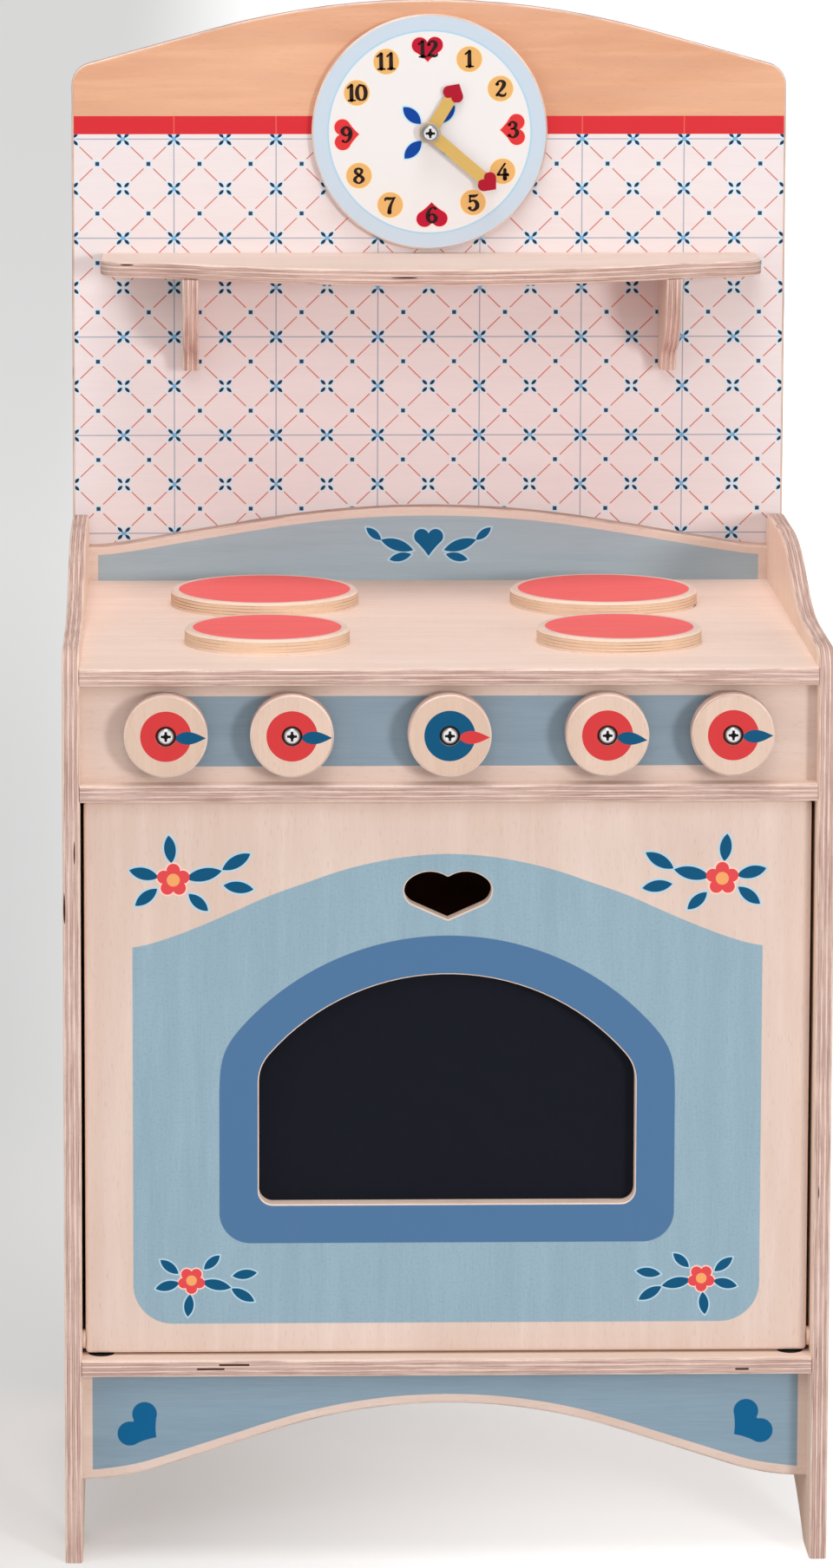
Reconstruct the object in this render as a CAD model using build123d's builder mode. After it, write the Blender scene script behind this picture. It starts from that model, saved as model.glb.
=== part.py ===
from build123d import *

import os
from math import asin, atan2, cos, hypot, radians, sin, sqrt

os.makedirs("parts", exist_ok=True)

# Toy oven. All sizes are in millimetres, Z is up, the oven faces -Y and the origin is on the
# floor, at the centre of the oven's width and of its whole depth.

# ------------------------------------------------------------------ driving sizes: the case
case_width = 440.0
case_depth = 332.0
side_thickness = 10.0
back_thickness = 10.0
hob_thickness = 10.0
divider_thickness = 10.0
base_thickness = 10.0
hob_height = 523.0
base_height = 120.0
edge_radius = 2.0

front_lip = 10.0
rear_lip = 42.0
lip_level_run = 92.0
lip_rise_run = 160.0
lip_front_radius = 16.0
lip_rear_radius = 16.0
foot_length = 38.0
side_arch_rise = 28.0

back_shoulder_height = 840.0
back_crown_height = 882.0
back_crown_share = 0.61
back_shoulder_radius = 14.0

# -------------------------------------------------------- driving sizes: fixed front boards
control_height = 57.0
control_thickness = 10.0
control_recess = 12.0
apron_thickness = 10.0
apron_recess = 20.0
apron_end_height = 43.5
apron_crown_height = 88.0
apron_crown_share = 0.476
apron_foot_share = 0.214

# ------------------------------------------------------------- driving sizes: hob and shelf
backsplash_thickness = 10.0
backsplash_end = 21.5
backsplash_crown = 46.0
backsplash_crown_share = 0.5
backsplash_foot_share = 0.1

front_burner_diameter = 96.0
rear_burner_diameter = 113.0
burner_thickness = 9.0
burner_edge = 1.5
burner_end_inset = 107.5
front_burner_depth = 93.0
rear_burner_depth = 233.0

shelf_height = 726.0
shelf_thickness = 10.0
shelf_length = 404.0
shelf_end_depth = 52.0
shelf_crown_depth = 101.0
shelf_bend_share = 0.7
shelf_corner_radius = 18.0
bracket_thickness = 10.0
bracket_spacing = 294.0
bracket_height = 61.0
bracket_top_depth = 66.0
bracket_foot_depth = 19.0
bracket_bend_share = 0.78

# --------------------------------------------------------------------- driving sizes: knobs
outer_knob_inset = 49.0
inner_knob_inset = 120.5
knob_rise = 1.0
knob_diameter = 47.5
knob_thickness = 12.0
knob_edge = 1.0
knob_well_diameter = 11.8
knob_well_depth = 2.6
knob_spacer_diameter = 16.0
knob_spacer_length = 6.0
knob_screw_diameter = 5.0
knob_screw_head_diameter = 9.2
knob_screw_head_height = 3.0
knob_nut_width = 8.0
knob_nut_height = 5.0

# --------------------------------------------------------------------- driving sizes: clock
clock_height = 801.0
dial_diameter = 145.0
dial_thickness = 6.0
dial_edge = 1.0
hand_thickness = 2.5
hand_width = 7.7
hand_hub_diameter = 13.0
hand_heart_width = 13.3
hand_heart_lobe_height = 7.35
hand_heart_lobe_radius = 3.65
hand_heart_notch_height = 8.8
hour_hand_length = 34.9
minute_hand_length = 53.5
hour_hand_angle = 31.0
minute_hand_angle = 130.5
clock_washer_diameter = 11.8
clock_washer_thickness = 0.8
clock_screw_diameter = 4.0
clock_screw_head_diameter = 9.4
clock_screw_head_height = 2.8
clock_nut_width = 7.0
clock_nut_height = 4.0

# ---------------------------------------------------------------------- driving sizes: door
door_thickness = 10.0
door_recess = 12.0
door_side_gap = 2.0
door_top_gap = 1.5
door_bottom_gap = 1.2
door_corner_radius = 2.5
door_edge_radius = 2.0
opening_edge_radius = 1.2
window_width = 216.2
window_sill = 87.5
window_crown = 222.2
window_arch_radius = 135.0
window_haunch_radius = 24.0
window_sill_radius = 8.0
heart_width = 50.0
heart_tip = 254.2
heart_lobe_height = 16.9
heart_lobe_radius = 8.8
heart_lobe_turn = 50.0
heart_notch_height = 24.6
heart_corner_radius = 1.5

pane_thickness = 3.0
pane_margin = 14.0
pane_corner_radius = 10.0
pane_screw_diameter = 3.0
pane_screw_head_diameter = 6.0
pane_screw_head_height = 1.8
pane_screw_length = 9.0

pivot_above_edge = 7.2
hinge_pin_diameter = 4.0
hinge_pin_in_door = 14.0
hinge_pin_in_side = 8.0
hinge_washer_diameter = 11.0

pad_diameter = 15.0
pad_thickness = 3.0
pad_inset = 11.0

strike_width = 36.0
strike_height = 13.0
strike_thickness = 1.2
strike_below_top = 1.0
catch_width = 46.0
catch_height = 12.0
catch_depth = 16.0
catch_air_gap = 0.3
pole_width = 24.0
pole_thickness = 1.6
pole_spacing = 5.0
pole_proud = 1.0

# ------------------------------------------------------------------ driving sizes: fastening
case_screw_diameter = 4.5
case_screw_head_diameter = 9.0
case_screw_head_height = 3.0
case_screw_length = 34.0
case_screw_well_depth = 3.0
case_screw_setback = 66.0
case_socket_width = 4.0
panel_screw_diameter = 3.5
panel_screw_head_diameter = 7.5
panel_screw_head_height = 2.0
panel_screw_length = 26.0
panel_screw_inset = 60.0
burner_screw_length = 16.0

# Clearances
screw_clearance = 0.05
head_clearance = 0.3
running_clearance = 0.05
washer_play = 0.1
knob_play = 0.2
bore_end_play = 0.5
bolt_tail = 1.0
drive_slot_width = 1.0
drive_slot_depth = 1.2

# ------------------------------------------------------------------------- places worked out
inner_width = case_width - 2 * side_thickness
back_depth = case_depth + back_thickness
hob_underside = hob_height - hob_thickness
divider_height = hob_underside - control_height
divider_underside = divider_height - divider_thickness
base_underside = base_height - base_thickness
shelf_underside = shelf_height - shelf_thickness

outer_knob_offset = inner_width / 2 - outer_knob_inset
inner_knob_offset = inner_width / 2 - inner_knob_inset
knob_offsets = (-outer_knob_offset, -inner_knob_offset, 0, inner_knob_offset, outer_knob_offset)
control_middle = divider_height + control_height / 2
knob_height = control_middle + knob_rise
knob_back_depth = control_recess - knob_spacer_length
knob_face_depth = knob_back_depth - knob_thickness
knob_seat_depth = knob_face_depth + knob_well_depth - knob_play
foremost_depth = min(knob_face_depth, knob_seat_depth - knob_screw_head_height)
rearmost_depth = back_depth + clock_nut_height + bolt_tail
front = -(foremost_depth + rearmost_depth) / 2

door_width = inner_width - 2 * door_side_gap
door_bottom = base_height + door_bottom_gap
door_top = divider_underside - door_top_gap
door_back_depth = door_recess + door_thickness
pivot_depth = door_recess + door_thickness / 2
pivot_height = door_bottom + pivot_above_edge
window_bottom = door_bottom + window_sill
window_top = door_bottom + window_crown
pane_back_depth = door_back_depth + pane_thickness

hob_middle = hob_height - hob_thickness / 2
divider_middle = divider_height - divider_thickness / 2
base_middle = base_height - base_thickness / 2


# ----------------------------------------------------------------------- planes and outlines
def facing(depth):
    """Plane parallel to the front, looking forward, at a depth behind the front edges."""
    return Plane(origin=(0, front + depth, 0), x_dir=(1, 0, 0), z_dir=(0, -1, 0))


def side_on(x):
    """Plane across the oven at x: its own x runs back from the front edges, its y up."""
    return Plane(origin=(x, front, 0), x_dir=(0, 1, 0), z_dir=(1, 0, 0))


def s_curve(half_length, end, bend_share, crown):
    """Three arcs that flow into each other, level at both ends and in the middle."""
    bend_x = bend_share * half_length
    bend_y = crown + bend_share * (end - crown)
    TangentArc((-half_length, end), (-bend_x, bend_y), tangent=(1, 0))
    ThreePointArc((-bend_x, bend_y), (0, crown), (bend_x, bend_y))
    TangentArc((half_length, end), (bend_x, bend_y), tangent=(-1, 0))


def swept_edge(half_length, end, crown, crown_share, foot_share=0.0):
    """Crown arc, straight flanks and end arcs that flow into each other along a board's edge."""
    crown_x = crown_share * half_length
    foot_x = (1 - foot_share) * half_length
    bent = half_length - foot_x + crown_x
    slope = 0.0
    for _ in range(8):
        slope = (end - crown) / (bent + 2 * (foot_x - crown_x) / (1 - slope**2))
    crown_y = crown + slope * crown_x
    foot_y = end - slope * (half_length - foot_x)
    ThreePointArc((-crown_x, crown_y), (0, crown), (crown_x, crown_y))
    Line((-foot_x, foot_y), (-crown_x, crown_y))
    Line((crown_x, crown_y), (foot_x, foot_y))
    if foot_share > 0:
        TangentArc((-half_length, end), (-foot_x, foot_y), tangent=(1, 0))
        TangentArc((half_length, end), (foot_x, foot_y), tangent=(-1, 0))


def heart_sketch(width, lobe_height, lobe_radius, notch_height, lobe_turn=90.0):
    """Heart with its tip at the origin, straight flanks and lobes that flatten to the notch."""
    lobe_x = width / 2 - lobe_radius
    lobe_distance = hypot(lobe_x, lobe_height)
    flank_length = sqrt(lobe_distance**2 - lobe_radius**2)
    flank_angle = atan2(lobe_height, lobe_x) - asin(lobe_radius / lobe_distance)
    flank = (cos(flank_angle), sin(flank_angle))
    flank_end = (flank_length * flank[0], flank_length * flank[1])
    turn = (cos(radians(lobe_turn)), sin(radians(lobe_turn)))
    lobe_end = (lobe_x + lobe_radius * turn[0], lobe_height + lobe_radius * turn[1])
    with BuildSketch() as heart:
        with BuildLine():
            Line((0, 0), flank_end)
            TangentArc(flank_end, lobe_end, tangent=flank)
            TangentArc(lobe_end, (0, notch_height), tangent=(-turn[1], turn[0]))
            mirror(about=Plane.YZ)
        make_face()
    return heart.sketch


def export(piece, name):
    """Name a finished piece and write it to its own file."""
    piece.part.label = name
    export_step(piece.part, f"parts/{name}.step")


# ------------------------------------------------------------------------ screws and their holes
def screw_shape(head_diameter, head_height, shank_diameter, length):
    """Pan-head screw along Z: its head's seat is at the origin and its head is above."""
    with BuildPart() as screw:
        with BuildSketch(Plane.XZ):
            with BuildLine():
                Polyline(
                    (0, -length),
                    (shank_diameter / 2, -length),
                    (shank_diameter / 2, 0),
                    (head_diameter / 2, 0),
                    (head_diameter / 2, head_height),
                    (0, head_height),
                    close=True,
                )
            make_face()
        revolve(axis=Axis.Z)
    return screw.part


def drive_cross(head_diameter, head_height):
    """Tool for the cross-shaped drive recess in the top of a head."""
    slot_length = 0.6 * head_diameter
    with BuildPart() as cross:
        with BuildSketch(Plane.XY.offset(head_height)):
            Rectangle(slot_length, drive_slot_width)
            Rectangle(drive_slot_width, slot_length)
        extrude(amount=-drive_slot_depth)
    return cross.part


def cross_screw(head_diameter, head_height, shank_diameter, length):
    """Pan-head screw with a bevelled head edge and a cross recess."""
    blank = screw_shape(head_diameter, head_height, shank_diameter, length)
    cross = drive_cross(head_diameter, head_height)
    with BuildPart() as screw:
        add(blank)
        chamfer(screw.edges().filter_by(GeomType.CIRCLE).sort_by(Axis.Z)[-1], 0.3 * head_height)
        add(cross, mode=Mode.SUBTRACT)
    return screw.part


def group(shape, places):
    """One node of equal, separate solids."""
    with BuildPart() as pieces:
        with Locations(*places):
            add(shape)
    return pieces


def hole_shape(head_diameter, shank_diameter, length, well_depth=0.0):
    """Tool for a screw's clearance hole, with a well that takes the head."""
    with BuildPart() as tool:
        with Locations((0, 0, -length / 2)):
            Cylinder(shank_diameter / 2 + screw_clearance, length)
        if well_depth > 0:
            with Locations((0, 0, well_depth / 2)):
                Cylinder(head_diameter / 2 + head_clearance, well_depth)
    return tool.part


heads_right = (0, 90, 0)
heads_left = (0, -90, 0)
heads_back = (-90, 0, 0)
heads_forward = (90, 0, 0)
heads_down = (180, 0, 0)

# Screws through the sides into the ends of the hob, divider and base boards
case_screw_seat = case_width / 2 - case_screw_well_depth
case_screw_depths = (case_screw_setback, case_depth - case_screw_setback)
case_screw_places = [
    Location((sign * case_screw_seat, front + depth, height), turn)
    for sign, turn in ((1, heads_right), (-1, heads_left))
    for height in (hob_middle, base_middle)
    for depth in case_screw_depths
]
case_screw_places += [
    Location((sign * case_screw_seat, front + case_depth / 2, divider_middle), turn)
    for sign, turn in ((1, heads_right), (-1, heads_left))
]
case_screw_blank = screw_shape(
    case_screw_head_diameter, case_screw_head_height, case_screw_diameter, case_screw_length
)
with BuildPart() as case_screw:
    add(case_screw_blank)
    with BuildSketch(Plane.XY.offset(case_screw_head_height)):
        RegularPolygon(case_socket_width / 2, 6, major_radius=False)
    extrude(amount=-case_screw_head_height / 2, mode=Mode.SUBTRACT)
case_screws = group(case_screw.part, case_screw_places)
export(case_screws, "case_screws")
case_holes = group(
    hole_shape(
        case_screw_head_diameter, case_screw_diameter, case_screw_length, case_screw_well_depth
    ),
    case_screw_places,
)

# Screws through the back panel, in the families that they hold
side_middle = (case_width - side_thickness) / 2
hang_height = (hob_height + base_height) / 2
panel_screw = screw_shape(
    panel_screw_head_diameter, panel_screw_head_height, panel_screw_diameter, panel_screw_length
)
panel_hole = hole_shape(panel_screw_head_diameter, panel_screw_diameter, panel_screw_length)


def back_places(spots):
    """Places on the back panel's rear face, from (x, height) pairs."""
    return [Location((x, front + back_depth, z), heads_back) for x, z in spots]


back_screw_places = back_places(
    [(sign * side_middle, hang_height) for sign in (-1, 1)]
    + [
        (sign * (inner_width / 2 - panel_screw_inset), height)
        for sign in (-1, 1)
        for height in (hob_middle, base_middle)
    ]
)
back_screws = group(panel_screw, back_screw_places)
export(back_screws, "back_panel_screws")
back_holes = group(panel_hole, back_screw_places)

shelf_middle = shelf_height - shelf_thickness / 2
bracket_middle = shelf_underside - bracket_height / 2
shelf_screw_places = back_places(
    [(sign * bracket_spacing / 2, bracket_middle) for sign in (-1, 1)]
    + [(sign * panel_screw_inset, shelf_middle) for sign in (-1, 1)]
)
shelf_screws = group(panel_screw, shelf_screw_places)
export(shelf_screws, "shelf_screws")
shelf_holes = group(panel_hole, shelf_screw_places)

# ------------------------------------------------------------------------------- side panels
def side_panel(x, name):
    """Side panel from x inwards to x + side_thickness, with its lip, feet and arch."""
    lip_start = hob_height + front_lip
    lip_end = hob_height + rear_lip
    rise_end = lip_level_run + lip_rise_run
    rise_middle = (lip_level_run + lip_rise_run / 2, (lip_start + lip_end) / 2)
    with BuildPart() as panel:
        with BuildSketch(side_on(x)) as face:
            with BuildLine():
                Line((0, 0), (0, lip_start))
                Line((0, lip_start), (lip_level_run, lip_start))
                TangentArc((lip_level_run, lip_start), rise_middle, tangent=(1, 0))
                TangentArc((rise_end, lip_end), rise_middle, tangent=(-1, 0))
                Line((rise_end, lip_end), (case_depth, lip_end))
                Line((case_depth, lip_end), (case_depth, 0))
                Line((case_depth, 0), (case_depth - foot_length, 0))
                ThreePointArc(
                    (case_depth - foot_length, 0),
                    (case_depth / 2, side_arch_rise),
                    (foot_length, 0),
                )
                Line((foot_length, 0), (0, 0))
            make_face()
            front_corner = face.vertices().group_by(Axis.X)[0].sort_by(Axis.Y)[-1]
            fillet(front_corner, lip_front_radius)
            rear_corner = face.vertices().group_by(Axis.X)[-1].sort_by(Axis.Y)[-1]
            fillet(rear_corner, lip_rear_radius)
        extrude(amount=side_thickness)
        rear_edge = front + case_depth
        broad_faces = panel.faces().filter_by(Axis.X)
        rims = [
            edge
            for edge in broad_faces.edges()
            if edge.center().Z > edge_radius and edge.bounding_box().min.Y < rear_edge - edge_radius
        ]
        fillet(rims, edge_radius)
        add(case_holes.part, mode=Mode.SUBTRACT)
        add(back_holes.part, mode=Mode.SUBTRACT)
        inner_face = x + side_thickness if x < 0 else x
        towards_outside = -1 if x < 0 else 1
        pin_middle = inner_face + towards_outside * hinge_pin_in_side / 2
        with Locations(Location((pin_middle, front + pivot_depth, pivot_height), heads_right)):
            Cylinder(hinge_pin_diameter / 2, hinge_pin_in_side, mode=Mode.SUBTRACT)
    export(panel, name)


side_panel(-case_width / 2, "left_side_panel")
side_panel(case_width / 2 - side_thickness, "right_side_panel")

# -------------------------------------------------------------------------------- back panel
clock_stack = dial_thickness + 3 * clock_washer_thickness + 2 * hand_thickness + 2 * washer_play
clock_seat_depth = case_depth - clock_stack
with BuildPart() as back_panel:
    with BuildSketch(facing(case_depth)) as face:
        with BuildLine():
            half = case_width / 2
            swept_edge(half, back_shoulder_height, back_crown_height, back_crown_share)
            Polyline(
                (half, back_shoulder_height),
                (half, base_underside),
                (-half, base_underside),
                (-half, back_shoulder_height),
            )
        make_face()
        shoulders = [
            corner
            for corner in face.vertices()
            if abs(corner.X) > half - edge_radius and corner.Y > base_height
        ]
        fillet(shoulders, back_shoulder_radius)
    extrude(amount=-back_thickness)
    top_rims = [
        edge
        for edge in back_panel.faces().filter_by(Axis.Y).edges()
        if edge.center().Z > base_height
    ]
    fillet(top_rims, edge_radius)
    add(back_holes.part, mode=Mode.SUBTRACT)
    add(shelf_holes.part, mode=Mode.SUBTRACT)
    with Locations(facing(case_depth).offset(-back_thickness / 2)):
        with Locations((0, clock_height)):
            Cylinder(clock_screw_diameter / 2 + screw_clearance, back_thickness, mode=Mode.SUBTRACT)
export(back_panel, "back_panel")


# ------------------------------------------------------------------------- horizontal boards
def board(top, thickness):
    """Board between the sides, from the front edges to the back panel."""
    with BuildPart() as plank:
        with BuildSketch(side_on(0)) as section:
            with Locations((case_depth / 2, top - thickness / 2)):
                Rectangle(case_depth, thickness)
            fillet(section.vertices().group_by(Axis.X)[0], edge_radius)
        extrude(amount=inner_width / 2, both=True)
        add(case_holes.part, mode=Mode.SUBTRACT)
        add(back_holes.part, mode=Mode.SUBTRACT)
    return plank


# Burner discs, fixed from below by one screw each
burner_offset = inner_width / 2 - burner_end_inset
burners = {
    "front_left_burner": (-burner_offset, front_burner_depth, front_burner_diameter),
    "front_right_burner": (burner_offset, front_burner_depth, front_burner_diameter),
    "rear_left_burner": (-burner_offset, rear_burner_depth, rear_burner_diameter),
    "rear_right_burner": (burner_offset, rear_burner_depth, rear_burner_diameter),
}
burner_screw_places = [
    Location((x, front + depth, hob_underside), heads_down) for x, depth, _ in burners.values()
]
burner_screws = group(
    screw_shape(
        panel_screw_head_diameter, panel_screw_head_height, panel_screw_diameter, burner_screw_length
    ),
    burner_screw_places,
)
export(burner_screws, "burner_screws")
burner_holes = group(
    hole_shape(panel_screw_head_diameter, panel_screw_diameter, burner_screw_length),
    burner_screw_places,
)
for name, (x, depth, diameter) in burners.items():
    with BuildPart() as burner:
        with BuildSketch(Plane.XY.offset(hob_height)):
            with Locations((x, front + depth)):
                Circle(diameter / 2)
        extrude(amount=burner_thickness)
        chamfer(burner.faces().sort_by(Axis.Z)[-1].edges(), burner_edge)
        add(burner_holes.part, mode=Mode.SUBTRACT)
    export(burner, name)

hob_board = board(hob_height, hob_thickness)
with hob_board:
    add(burner_holes.part, mode=Mode.SUBTRACT)
export(hob_board, "hob_board")

# Magnetic catch under the divider board
strike_top = door_top - strike_below_top
catch_front_depth = door_back_depth + strike_thickness + catch_air_gap + pole_proud
catch_screw_offset = (catch_width + pole_width) / 4
catch_screw_places = [
    Location(
        (
            sign * catch_screw_offset,
            front + catch_front_depth + catch_depth / 2,
            divider_underside - catch_height / 2,
        ),
        heads_down,
    )
    for sign in (-1, 1)
]
catch_screw_length = catch_height / 2 + 0.8 * divider_thickness
catch_screws = group(
    screw_shape(
        pane_screw_head_diameter, pane_screw_head_height, pane_screw_diameter, catch_screw_length
    ),
    catch_screw_places,
)
export(catch_screws, "catch_screws")
catch_holes = group(
    hole_shape(
        pane_screw_head_diameter, pane_screw_diameter, catch_screw_length, catch_height / 2
    ),
    catch_screw_places,
)

divider_board = board(divider_height, divider_thickness)
with divider_board:
    add(catch_holes.part, mode=Mode.SUBTRACT)
export(divider_board, "divider_board")

pole_heights = [
    divider_underside - catch_height / 2 + sign * pole_spacing / 2 for sign in (-1, 1)
]
pole_depth = catch_depth / 2 + pole_proud
with BuildPart() as pole_plates:
    with BuildSketch(facing(catch_front_depth - pole_proud)):
        with Locations(*[(0, height) for height in pole_heights]):
            Rectangle(pole_width, pole_thickness)
    extrude(amount=-pole_depth)
export(pole_plates, "catch_pole_plates")

with BuildPart() as catch_casing:
    with BuildSketch(facing(catch_front_depth)):
        with Locations((0, divider_underside - catch_height / 2)):
            Rectangle(catch_width, catch_height)
    extrude(amount=-catch_depth)
    fillet(catch_casing.edges().filter_by(Axis.Z), edge_radius)
    add(pole_plates.part, mode=Mode.SUBTRACT)
    add(catch_holes.part, mode=Mode.SUBTRACT)
export(catch_casing, "catch_casing")

# Base board with its two let-in pads
pad_offset = inner_width / 2 - pad_inset
with BuildPart() as door_pads:
    with BuildSketch(Plane.XY.offset(base_height)):
        with Locations((-pad_offset, front + pivot_depth), (pad_offset, front + pivot_depth)):
            Circle(pad_diameter / 2)
    extrude(amount=-pad_thickness)
export(door_pads, "door_pads")

base_board = board(base_height, base_thickness)
with base_board:
    add(door_pads.part, mode=Mode.SUBTRACT)
export(base_board, "base_board")

# ------------------------------------------------------------------------------------- apron
with BuildPart() as apron:
    with BuildSketch(facing(apron_recess)):
        with BuildLine():
            half = inner_width / 2
            swept_edge(
                half, apron_end_height, apron_crown_height, apron_crown_share, apron_foot_share
            )
            Polyline(
                (half, apron_end_height),
                (half, base_underside),
                (-half, base_underside),
                (-half, apron_end_height),
            )
        make_face()
    extrude(amount=-apron_thickness)
    lower_rims = [
        edge
        for edge in apron.faces().filter_by(Axis.Y).edges()
        if edge.bounding_box().size.X > edge_radius and edge.center().Z < base_underside - edge_radius
    ]
    fillet(lower_rims, edge_radius)
export(apron, "apron")

# -------------------------------------------------------------------------------- backsplash
with BuildPart() as backsplash:
    with BuildSketch(facing(case_depth - backsplash_thickness)):
        with BuildLine():
            half = inner_width / 2
            swept_edge(
                half,
                hob_height + backsplash_end,
                hob_height + backsplash_crown,
                backsplash_crown_share,
                backsplash_foot_share,
            )
            Polyline(
                (half, hob_height + backsplash_end),
                (half, hob_height),
                (-half, hob_height),
                (-half, hob_height + backsplash_end),
            )
        make_face()
    extrude(amount=-backsplash_thickness)
    front_rim = [
        edge
        for edge in backsplash.faces().sort_by(Axis.Y)[0].edges()
        if edge.bounding_box().size.X > edge_radius and edge.center().Z > hob_height + edge_radius
    ]
    fillet(front_rim, edge_radius)
export(backsplash, "backsplash")

# ------------------------------------------------------------------------ shelf and brackets
shelf_back = front + case_depth
with BuildPart() as shelf:
    with BuildSketch(Plane.XY.offset(shelf_underside)) as plan:
        with BuildLine():
            half = shelf_length / 2
            s_curve(
                half,
                shelf_back - shelf_end_depth,
                shelf_bend_share,
                shelf_back - shelf_crown_depth,
            )
            Polyline(
                (half, shelf_back - shelf_end_depth),
                (half, shelf_back),
                (-half, shelf_back),
                (-half, shelf_back - shelf_end_depth),
            )
        make_face()
        front_corners = [
            corner
            for corner in plan.vertices()
            if abs(corner.X) > half - shelf_corner_radius
            and corner.Y < shelf_back - shelf_corner_radius
        ]
        fillet(front_corners, shelf_corner_radius)
    extrude(amount=shelf_thickness)
    rims = [
        edge
        for edge in shelf.faces().filter_by(Axis.Z).edges()
        if edge.bounding_box().min.Y < shelf_back - edge_radius
    ]
    fillet(rims, edge_radius)
    add(shelf_holes.part, mode=Mode.SUBTRACT)
export(shelf, "shelf")


def shelf_bracket(x, name):
    """Bracket whose front edge sweeps down and back in an S-curve."""
    foot = shelf_underside - bracket_height
    top_front = case_depth - bracket_top_depth
    foot_front = case_depth - bracket_foot_depth
    bend = (
        top_front + bracket_bend_share * (foot_front - top_front),
        shelf_underside - bracket_bend_share * bracket_height,
    )
    with BuildPart() as bracket:
        with BuildSketch(side_on(x)):
            with BuildLine():
                Line((case_depth, shelf_underside), (top_front, shelf_underside))
                TangentArc((top_front, shelf_underside), bend, tangent=(0, -1))
                TangentArc((foot_front, foot), bend, tangent=(0, 1))
                Line((foot_front, foot), (case_depth, foot))
                Line((case_depth, foot), (case_depth, shelf_underside))
            make_face()
        extrude(amount=bracket_thickness / 2, both=True)
        front_rims = [
            edge
            for edge in bracket.faces().filter_by(Axis.X).edges()
            if edge.geom_type == GeomType.CIRCLE
        ]
        fillet(front_rims, edge_radius)
        add(shelf_holes.part, mode=Mode.SUBTRACT)
    export(bracket, name)


shelf_bracket(-bracket_spacing / 2, "left_shelf_bracket")
shelf_bracket(bracket_spacing / 2, "right_shelf_bracket")

# -------------------------------------------------------------------- control panel and knobs
control_back_depth = control_recess + control_thickness
knob_bolt_length = control_back_depth + knob_nut_height + bolt_tail - knob_seat_depth
knob_screw_places = [
    Location((x, front + knob_seat_depth, knob_height), heads_forward) for x in knob_offsets
]
knob_screws = group(
    cross_screw(
        knob_screw_head_diameter, knob_screw_head_height, knob_screw_diameter, knob_bolt_length
    ),
    knob_screw_places,
)
export(knob_screws, "knob_screws")
knob_bores = group(
    hole_shape(knob_screw_head_diameter, knob_screw_diameter, knob_bolt_length), knob_screw_places
)

with BuildPart() as control_panel:
    with BuildSketch(facing(control_recess)):
        with Locations((0, control_middle)):
            Rectangle(inner_width, control_height)
    extrude(amount=-control_thickness)
    add(knob_bores.part, mode=Mode.SUBTRACT)
export(control_panel, "control_panel")

with BuildPart() as knob_spacers:
    with BuildSketch(facing(control_recess)):
        with Locations(*[(x, knob_height) for x in knob_offsets]):
            Circle(knob_spacer_diameter / 2)
            Circle(knob_screw_diameter / 2 + screw_clearance, mode=Mode.SUBTRACT)
    extrude(amount=knob_spacer_length)
export(knob_spacers, "knob_spacers")

with BuildPart() as knob_nuts:
    with BuildSketch(facing(control_back_depth)):
        with Locations(*[(x, knob_height) for x in knob_offsets]):
            RegularPolygon(knob_nut_width / 2, 6, major_radius=False)
            Circle(knob_screw_diameter / 2 + screw_clearance, mode=Mode.SUBTRACT)
    extrude(amount=-knob_nut_height)
export(knob_nuts, "knob_lock_nuts")

for number, x in enumerate(knob_offsets, start=1):
    with BuildPart() as knob:
        with BuildSketch(facing(knob_back_depth)):
            with Locations((x, knob_height)):
                Circle(knob_diameter / 2)
        extrude(amount=knob_thickness)
        chamfer(knob.faces().sort_by(Axis.Y)[0].edges(), knob_edge)
        with BuildSketch(facing(knob_face_depth)):
            with Locations((x, knob_height)):
                Circle(knob_well_diameter / 2)
        extrude(amount=-knob_well_depth, mode=Mode.SUBTRACT)
        with BuildSketch(facing(knob_face_depth)):
            with Locations((x, knob_height)):
                Circle(knob_screw_diameter / 2 + running_clearance)
        extrude(amount=-knob_thickness, mode=Mode.SUBTRACT)
    export(knob, f"knob_{number}")

# ------------------------------------------------------------------------------------- clock
with BuildPart() as clock_dial:
    with BuildSketch(facing(case_depth)):
        with Locations((0, clock_height)):
            Circle(dial_diameter / 2)
            Circle(clock_screw_diameter / 2 + screw_clearance, mode=Mode.SUBTRACT)
    extrude(amount=dial_thickness)
    rim = clock_dial.faces().sort_by(Axis.Y)[0].edges().sort_by(SortBy.LENGTH)[-1]
    chamfer(rim, dial_edge)
export(clock_dial, "clock_dial")

dial_face_depth = case_depth - dial_thickness
hour_back_depth = dial_face_depth - clock_washer_thickness
hour_front_depth = hour_back_depth - hand_thickness
middle_washer_depth = hour_front_depth - washer_play
minute_back_depth = middle_washer_depth - clock_washer_thickness
minute_front_depth = minute_back_depth - hand_thickness
front_washer_depth = minute_front_depth - washer_play


with BuildPart() as clock_washers:
    for depth in (dial_face_depth, middle_washer_depth, front_washer_depth):
        with BuildSketch(facing(depth)):
            with Locations((0, clock_height)):
                Circle(clock_washer_diameter / 2)
                Circle(clock_screw_diameter / 2 + screw_clearance, mode=Mode.SUBTRACT)
        extrude(amount=clock_washer_thickness)
export(clock_washers, "clock_washers")

hand_heart = heart_sketch(
    hand_heart_width, hand_heart_lobe_height, hand_heart_lobe_radius, hand_heart_notch_height
)


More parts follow.
